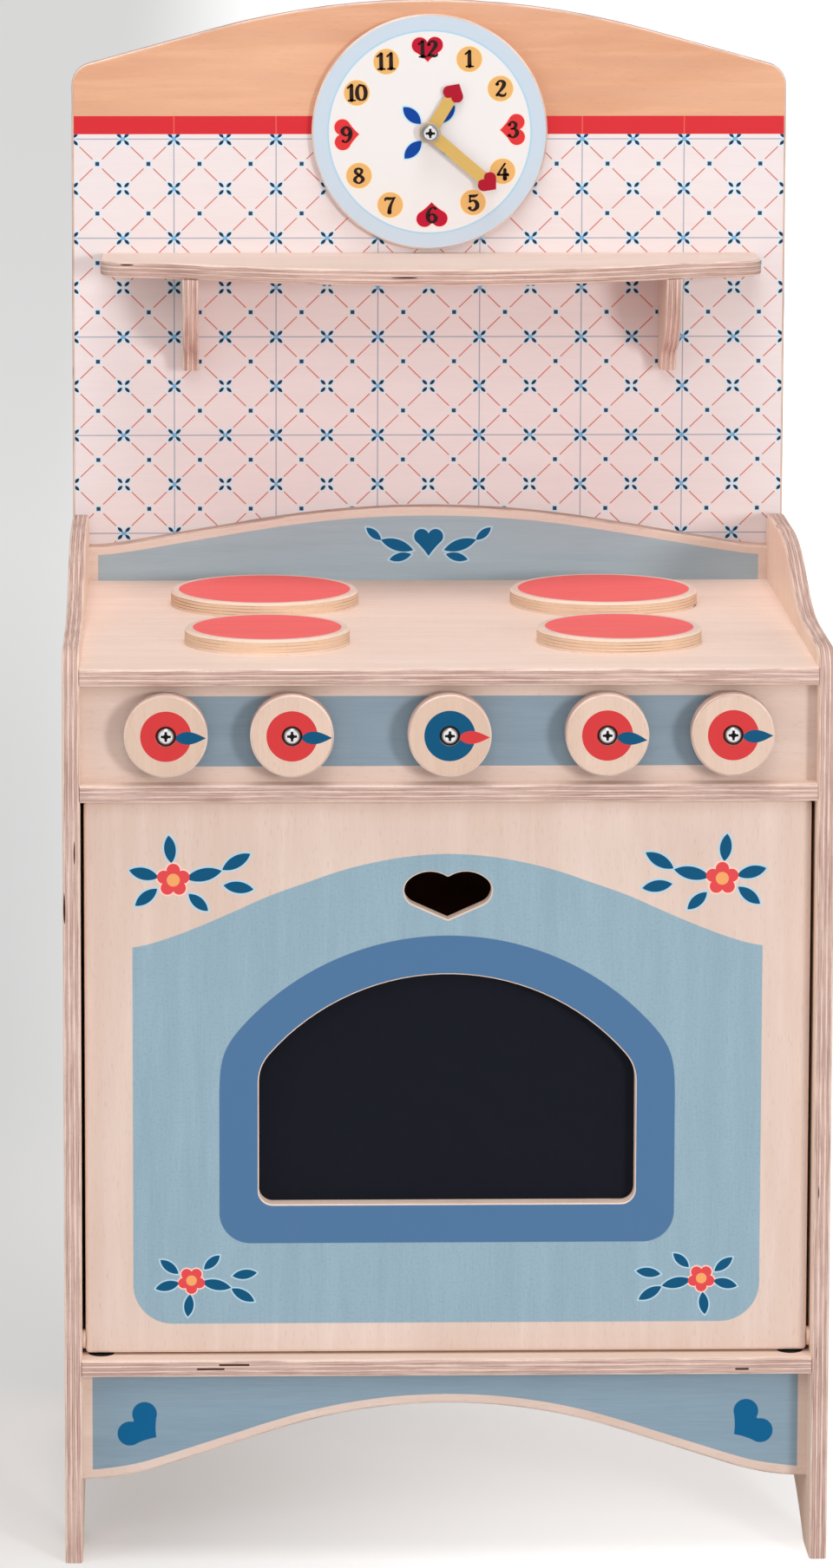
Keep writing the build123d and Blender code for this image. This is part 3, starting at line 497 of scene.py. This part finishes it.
def hand_print(angle, tip):
    """A hand that lies angle degrees clockwise of 12, with a heart whose point is at tip."""
    def artwork(surface, colour, grain):
        x, z = surface.x, surface.z - CLOCK_HEIGHT
        across, along_hand = turned(x, z, -angle)
        bar = surface.in_front(distance(x, z) - 90)
        colour = surface.mix(bar, colour, linear(206, 170, 96))
        shape = heart(across, tip - along_hand, 13.3, 11, 0)
        return surface.mix(bar * (shape - 0.4).inside(0.3), colour, linear(168, 14, 40))
    return artwork


# --------------------------------------------------- finishes on the boards
def wear(node, material):
    """Gives a carried-over node its finish."""
    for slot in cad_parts[node].material_slots:
        slot.material = material


def wear_board(node, name, through, grain, **look):
    """Gives a node a board's finish, its layers laid through the node's own thickness."""
    low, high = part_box(node)
    axis = AXES[through]
    wear(node, board(name, through, low[axis], high[axis] - low[axis], grain, **look))


# The side panels' birch is paler than the other boards': painted light, standing in for the light
# on their inner faces.
SIDE_LIT = {"light": linear(252, 226, 206), "dark": linear(243, 211, 190)}
# The level boards' birch is paler as well: painted light, standing in for the light from above on
# the hob's top.
LEVEL_LIT = {"light": linear(242, 219, 206), "dark": linear(231, 205, 190)}
BACK = {"light": linear(231, 180, 148), "dark": linear(208, 151, 117)}
KNOB = {"light": linear(223, 196, 179), "dark": linear(208, 179, 160), "plies": 9}
# The door's ply edges are paler than the other boards': painted light, standing in for the light
# from above on the window's ledges and the door's rims.
DOOR_LIT_EDGES = {"ply": linear(248, 226, 210), "cross_ply": linear(240, 214, 196),
        "line": linear(196, 156, 136), "streaks": 0.2}
BURNER = {"ply": linear(232, 200, 172), "cross_ply": linear(232, 198, 168),
          "line": linear(104, 62, 44), "streaks": 0.15, "plies": 5}
BURNER_RIM = 4.7         # bare wood round a burner's disc, in millimetres
BASE_VOIDS = ((-122.5, 117.3, 17.5), (-136, 114.9, 16), (170, 113.5, 8))

wear_board("left_side_panel", "left_side_birch", "x", "z", **SIDE_LIT)
wear_board("right_side_panel", "right_side_birch", "x", "z", **SIDE_LIT)
wear_board("back_panel", "back_panel_print", "y", "x", artwork=tile_print, **BACK)
wear_board("hob_board", "hob_birch", "z", "x", **LEVEL_LIT)
wear_board("divider_board", "divider_birch", "z", "x", **LEVEL_LIT)
wear_board("base_board", "base_birch", "z", "x", voids=BASE_VOIDS, **LEVEL_LIT)
wear_board("shelf", "shelf_birch", "z", "x")
wear_board("left_shelf_bracket", "left_bracket_birch", "x", "z")
wear_board("right_shelf_bracket", "right_bracket_birch", "x", "z")
wear_board("apron", "apron_paint", "y", "x", artwork=apron_print)
wear_board("control_panel", "control_panel_paint", "y", "x", artwork=panel_print)
wear_board("backsplash", "backsplash_paint", "y", "x", artwork=backsplash_print)
wear_board("door_panel", "door_paint", "y", "z", artwork=door_print, **DOOR_LIT_EDGES)
for node in ("front_left_burner", "front_right_burner", "rear_left_burner", "rear_right_burner"):
    low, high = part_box(node)
    across, depth = (low[0] + high[0]) / 2 / MM, ((low[1] + high[1]) / 2 - FRONT) / MM
    disc = burner_print(across, depth, (high[0] - low[0]) / 2 / MM - BURNER_RIM)
    wear_board(node, node + "_paint", "z", "x", artwork=disc, **BURNER)
knobs = ((-OUTER_KNOB, RED, BLUE, 0), (-INNER_KNOB, RED, BLUE, 0), (0, BLUE, RED, 0),
         (INNER_KNOB, RED, BLUE, -6), (OUTER_KNOB, RED, BLUE, 2))
for number, (centre_x, disc, blade, lean) in enumerate(knobs, 1):
    wear_board(f"knob_{number}", f"knob_{number}_paint", "y", "z",
               artwork=knob_print(centre_x, disc, blade, lean), **KNOB)
wear_board("clock_dial", "clock_face_print", "y", "x", artwork=clock_print, plies=5)
wear_board("hour_hand", "hour_hand_paint", "y", "z", artwork=hand_print(31, 34.9), plies=3)
wear_board("minute_hand", "minute_hand_paint", "y", "z", artwork=hand_print(130.5, 53.5), plies=3)


# --------------------------------------------------- metal, rubber, plastic
def plated(surface, clean, dull):
    """The colour of brushed plating, and the smear that also roughens it."""
    smear = surface.noise(900, 3, 0.6)
    surface.bump(surface.noise(along("y", 250, 4000), 1, 0.5), 0.006)
    return surface.mix(smear.over(0.35, 0.75) * 0.5, clean, dull), smear


def metal(name):
    surface = Surface(name)
    colour, smear = plated(surface, linear(206, 206, 208), linear(150, 150, 152))
    return surface.finish(colour, 0.24 + smear * 0.12, Metallic=1.0)


def cross_headed(name, from_centre, height, head):
    """Plated steel for screws with heads head millimetres wide at that height, with painted shade
    that darkens the rounded edge of each head and fills the hollow of its cross.
    from_centre(surface) is how far a point is beside one."""
    surface = Surface(name)
    colour, smear = plated(surface, linear(244, 242, 242), linear(196, 192, 192))
    u, v = from_centre(surface), surface.z - height
    radius = distance(u, v)
    arms = (abs(u) - 0.75).least(abs(v) - 0.75).most(radius - head * 0.31)
    cross_shade = arms.least(radius - head * 0.17).inside(0.2)
    # painted shade on the rounded edge of each head, and painted shade in the hollow of the cross
    # below
    edge_shade = (radius / (head / 2)).over(0.70, 0.98)
    colour = surface.mix(edge_shade * 0.8, colour, linear(62, 54, 52))
    colour = surface.mix(cross_shade, colour, linear(16, 14, 15))
    return surface.finish(colour, 0.26 + smear * 0.12 + cross_shade * 0.4, Metallic=0.5)


def from_middle(surface):
    return surface.x


def from_nearest_knob(surface):
    side = abs(surface.x)
    return side.least(abs(side - INNER_KNOB)).least(abs(side - OUTER_KNOB))


def moulded(name, light, dark, roughness, grit, specular=0.5):
    """Rubber or plastic with a fine grain of grit features per metre."""
    surface = Surface(name)
    cloud = surface.noise(60, 3, 0.6)
    grain = surface.noise(grit, 2, 0.5)
    colour = surface.mix(cloud * 0.7 + grain * 0.3, light, dark)
    surface.bump(grain, 0.02)
    return surface.finish(colour, roughness + cloud * 0.1, Specular_IOR_Level=specular)


steel = metal("bright_steel")
for node in ("clock_washers", "clock_lock_nut", "knob_lock_nuts", "pane_screws", "hinge_pins",
             "catch_pole_plates", "catch_screws", "catch_strike", "catch_strike_screw",
             "case_screws", "back_panel_screws", "shelf_screws", "burner_screws"):
    wear(node, steel)
wear("knob_screws", cross_headed("knob_screw_steel", from_nearest_knob, KNOB_HEIGHT, 9.2))
wear("clock_screw", cross_headed("clock_screw_steel", from_middle, CLOCK_HEIGHT, 9.4))
wear("door_pads", moulded("black_rubber", linear(34, 30, 28), linear(20, 18, 17), 0.6, 2500))
# turned parts are of one piece, so their wood has a single layer, wider than any of them
turned_birch = board("turned_birch", "x", -0.3, 0.6, "x", linear(214, 186, 172),
                     linear(198, 168, 153), plies=1)
wear("knob_spacers", turned_birch)
wear("hinge_washers", turned_birch)
wear("catch_casing", moulded("white_plastic", linear(226, 222, 214), linear(212, 207, 198),
                             0.4, 1500))
# painted shade: the pane is near-black, standing in for the dark inside of the oven
wear("window_pane", moulded("shade_dark_sheet", linear(24, 26, 35), linear(20, 22, 31),
                            0.5, 3000, 0.06))


# --------------------------------------------------------- clock numerals
ink_surface = Surface("numeral_ink")
speck = ink_surface.noise(2500, 2, 0.6)
numeral_ink = ink_surface.finish(
    ink_surface.mix(speck * 0.8, linear(44, 26, 24), linear(30, 18, 17)),
    0.6 + speck * 0.1, Specular_IOR_Level=0.15)

# Brush strokes of each figure as (across, up, width) points in shares of the figure's height;
# a stroke of one point is a round end
SIX = (((.48, .88, .13),),
       ((.47, .92, .06), (.34, .95, .09), (.18, .80, .13), (.09, .50, .17), (.13, .20, .16),
        (.29, .05, .11), (.45, .15, .15), (.50, .33, .16), (.40, .51, .12), (.26, .54, .08),
        (.13, .42, .06)))
FIGURES = {
    "0": (((.30, .95, .08), (.14, .84, .13), (.08, .50, .17), (.14, .16, .15), (.30, .05, .08),
           (.46, .16, .14), (.52, .50, .17), (.45, .84, .14), (.30, .95, .08), (.20, .98, .06)),),
    "1": (((.30, .05, .17), (.30, .50, .16), (.31, .96, .15)),
          ((.31, .95, .10), (.20, .90, .07), (.12, .80, .09)),
          ((.14, .04, .08), (.47, .04, .08))),
    "2": (((.13, .76, .16),),
          ((.11, .78, .07), (.18, .90, .09), (.32, .96, .11), (.46, .86, .16), (.46, .68, .17),
           (.33, .44, .13), (.15, .21, .09), (.08, .10, .08)),
          ((.08, .08, .08), (.20, .12, .14), (.36, .06, .14), (.50, .09, .10), (.55, .21, .05))),
    "3": (((.13, .80, .15),),
          ((.12, .83, .07), (.22, .94, .09), (.34, .95, .11), (.45, .83, .15), (.42, .65, .13),
           (.29, .56, .08), (.22, .55, .07)),
          ((.11, .16, .16),),
          ((.24, .55, .07), (.38, .54, .10), (.49, .42, .15), (.50, .24, .17), (.40, .09, .13),
           (.26, .04, .09), (.11, .13, .08))),
    "4": (((.42, .97, .08), (.22, .64, .09), (.05, .31, .10)),
          ((.05, .30, .10), (.56, .30, .10)),
          ((.41, .62, .13), (.40, .30, .16), (.40, .04, .17)),
          ((.54, .36, .06), (.56, .24, .08))),
    "5": (((.15, .92, .10), (.30, .90, .15), (.44, .92, .12), (.54, .99, .05)),
          ((.16, .94, .08), (.13, .56, .07)),
          ((.13, .54, .07), (.27, .63, .09), (.42, .58, .14), (.51, .40, .17), (.48, .20, .17),
           (.34, .06, .12), (.20, .05, .08), (.11, .13, .07)),
          ((.12, .18, .16),)),
    "6": SIX,
    "7": (((.06, .78, .05), (.10, .91, .12), (.28, .90, .15), (.44, .91, .10), (.56, .96, .06)),
          ((.53, .93, .07), (.39, .64, .11), (.29, .34, .15), (.26, .05, .18))),
    "8": (((.31, .95, .08), (.17, .88, .12), (.15, .72, .14), (.31, .54, .13), (.47, .40, .14),
           (.50, .23, .15), (.31, .05, .08), (.11, .19, .14), (.13, .37, .13), (.30, .52, .08),
           (.44, .68, .11), (.45, .85, .12), (.31, .95, .08)),),
    "9": tuple(tuple((.60 - across, 1 - up, width) for across, up, width in stroke)
               for stroke in SIX),
}
# Metres to one figure height: across, up and forwards. The figures are drawn a little wider
# than the table has them.
FIGURE_SCALE = Matrix.Diagonal((0.0121, 0.0102, 0.0102, 1))
INK_THICKNESS = 0.005    # in figure heights, which makes it 0.05 mm
DIAL_FACE = 325.995      # depth of the numerals' backs behind the case's front edges, in mm


def smooth(stroke, steps=5):
    """More points along a stroke, on a curve through the given ones."""
    points = [Vector(point) for point in stroke]
    line = []
    for index in range(len(points) - 1):
        p0, p1, p2, p3 = (points[min(max(index + shift, 0), len(points) - 1)]
                          for shift in (-1, 0, 1, 2))
        for step in range(steps):
            t = step / steps
            line.append(0.5 * (2 * p1 + (p2 - p0) * t + (2 * p0 - 5 * p1 + 4 * p2 - p3) * t ** 2
                               + (3 * p1 - p0 - 3 * p2 + p3) * t ** 3))
    return line + points[-1:]


def draw_stroke(shape, stroke, shift):
    """Adds one stroke, flat, with round ends."""
    line = smooth(stroke)
    for end in {0, len(line) - 1}:
        across, up, width = line[end]
        corners = [(math.cos(turn * math.pi / 7), math.sin(turn * math.pi / 7))
                   for turn in range(14)]
        shape.faces.new([shape.verts.new((across + shift + cos * width / 2,
                                          up + sin * width / 2, 0)) for cos, sin in corners])
    if len(line) == 1:
        return
    edges = []
    for index, (across, up, width) in enumerate(line):
        before, after = line[max(index - 1, 0)], line[min(index + 1, len(line) - 1)]
        run, rise = after[0] - before[0], after[1] - before[1]
        reach = width / 2 / max(math.hypot(run, rise), 1e-6)
        edges.append([shape.verts.new((across + shift - side * rise * reach,
                                       up + side * run * reach, 0)) for side in (1, -1)])
    for (left, right), (next_left, next_right) in zip(edges, edges[1:]):
        shape.faces.new((right, next_right, next_left, left))


def numeral(hour):
    """Adds one numeral of the clock, upright on the dial, as a thin mesh object."""
    shape = bmesh.new()
    word = str(hour)
    pitch = 0.50 if "1" in word else 0.60
    for index, figure in enumerate(word):
        for stroke in FIGURES[figure]:
            bold = [(across, up, width * 1.2 + 0.01) for across, up, width in stroke]
            draw_stroke(shape, bold, (index - (len(word) - 1) / 2) * pitch - 0.30)
    raised = bmesh.ops.extrude_face_region(shape, geom=shape.faces[:])
    bmesh.ops.translate(shape, vec=(0, 0, INK_THICKNESS),
                        verts=[item for item in raised["geom"]
                               if isinstance(item, bmesh.types.BMVert)])
    angle = math.radians(hour * 30 - DIAL_TURN)
    place = Vector((math.sin(angle) * NUMERAL_RING * MM, FRONT + DIAL_FACE * MM,
                    (CLOCK_HEIGHT + math.cos(angle) * NUMERAL_RING) * MM))
    stand = (Matrix.Translation(place) @ Matrix.Rotation(math.radians(-DIAL_TURN), 4, "Y")
             @ Matrix.Rotation(math.radians(90), 4, "X") @ FIGURE_SCALE)
    centred = Matrix.Translation((0, -0.5, 0))
    bmesh.ops.transform(shape, matrix=stand @ centred, verts=shape.verts[:])
    mesh = bpy.data.meshes.new(f"clock_numeral_{hour}")
    shape.to_mesh(mesh)
    shape.free()
    mesh.materials.append(numeral_ink)
    piece = bpy.data.objects.new(f"clock_numeral_{hour}", mesh)
    bpy.context.scene.collection.objects.link(piece)
    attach(piece, "stove")


for hour in range(1, 13):
    numeral(hour)


# ------------------------------------------------------- floor and light
# The camera sees the floor lightened by a glow that lights nothing else. It grows towards the
# right and far behind, and leaves the left greyer, where the photograph has its shadow.
floor_surface = Surface("studio_floor")
seen = floor_surface.add("ShaderNodeLightPath").outputs["Is Camera Ray"]
floor_colour = floor_surface.mix(seen, (0.78, 0.78, 0.78, 1), (0.62, 0.62, 0.62, 1))
floor_colour = floor_surface.mix(floor_surface.noise(6) * 0.02, floor_colour, (0.7, 0.7, 0.7, 1))
to_right, to_back = floor_surface.x.over(-380, 190), floor_surface.d.over(700, 4200)
glow = to_right * 0.46 + to_back * 0.28 + 0.17
floor_surface.plug(floor_surface.shader.inputs["Emission Strength"],
                   glow * Number(floor_surface, seen))
floor_surface.shader.inputs["Emission Color"].default_value = (1.0, 0.995, 0.99, 1)
floor_mesh = bpy.data.meshes.new("studio_floor")
floor_mesh.from_pydata([(-40, -40, 0), (40, -40, 0), (40, 40, 0), (-40, 40, 0)], [],
                       [(0, 1, 2, 3)])
floor_mesh.materials.append(floor_surface.finish(floor_colour, 0.9, Specular_IOR_Level=0.1))
floor = bpy.data.objects.new("studio_floor", floor_mesh)
bpy.context.scene.collection.objects.link(floor)


def lamp(name, place, target, size, power, colour=(1, 1, 1)):
    """A round lamp of size metres and power watts that looks at the target."""
    data = bpy.data.lights.new(name, "AREA")
    data.shape, data.size, data.energy, data.color = "DISK", size, power, colour
    lamp_object = bpy.data.objects.new(name, data)
    lamp_object.location = place
    look = Vector(target) - Vector(place)
    lamp_object.rotation_euler = look.to_track_quat("-Z", "Y").to_euler()
    bpy.context.scene.collection.objects.link(lamp_object)


lamp("key_light", (1.8, -3.2, 1.0), (0, 0, 0.42), 0.75, 47, (1.0, 0.995, 0.985))
lamp("fill_light", (-2.6, -1.6, 1.4), (0, 0, 0.45), 2.2, 18, (1.0, 0.99, 0.98))
lamp("front_light", (-0.5, -4.2, 3.2), (0, 0, 0.5), 2.4, 38)
lamp("top_light", (0, -0.5, 3.3), (0, 0, 0.45), 1.6, 42)

# The world is white to camera and transmission rays, and a low even light to all others
world = bpy.data.worlds.new("studio_air")
world.use_nodes = True
bpy.context.scene.world = world
air = world.node_tree
background = air.nodes["Background"]
background.inputs["Color"].default_value = (1.0, 1.0, 1.0, 1.0)
path = air.nodes.new("ShaderNodeLightPath")
shown = air.nodes.new("ShaderNodeMath")
shown.operation = "MAXIMUM"
air.links.new(path.outputs["Is Camera Ray"], shown.inputs[0])
air.links.new(path.outputs["Is Transmission Ray"], shown.inputs[1])
level = air.nodes.new("ShaderNodeMapRange")
level.inputs["To Min"].default_value = 0.37
level.inputs["To Max"].default_value = 1.0
air.links.new(shown.outputs[0], level.inputs["Value"])
air.links.new(level.outputs[0], background.inputs["Strength"])
bpy.context.scene.view_settings.view_transform = "Standard"

# ----------------------------------------------------------------- camera
# Fitted to corners of the object in the photograph. The place is in metres, the angles in
# radians, the focal length in frame heights.
place = (-0.14119, -3.56787, 1.11363)
yaw, pitch, roll = -0.02285, -0.12647, -0.00133
focal_length, sensor = 3.8754, 36
aim = (Matrix.Rotation(yaw, 3, "Z") @ Matrix.Rotation(pitch, 3, "X")
       @ Matrix.Rotation(roll, 3, "Y"))
to_camera = Matrix(((1, 0, 0), (0, 0, -1), (0, 1, 0)))
camera_data = bpy.data.cameras.new("camera")
camera_data.lens = focal_length * sensor
camera_data.sensor_width = sensor
camera_data.shift_x, camera_data.shift_y = 0.05, -0.25
camera_data.clip_start, camera_data.clip_end = 0.05, 200
camera = bpy.data.objects.new("camera", camera_data)
camera.matrix_world = Matrix.Translation(place) @ (aim @ to_camera).to_4x4()
bpy.context.scene.collection.objects.link(camera)
bpy.context.scene.camera = camera
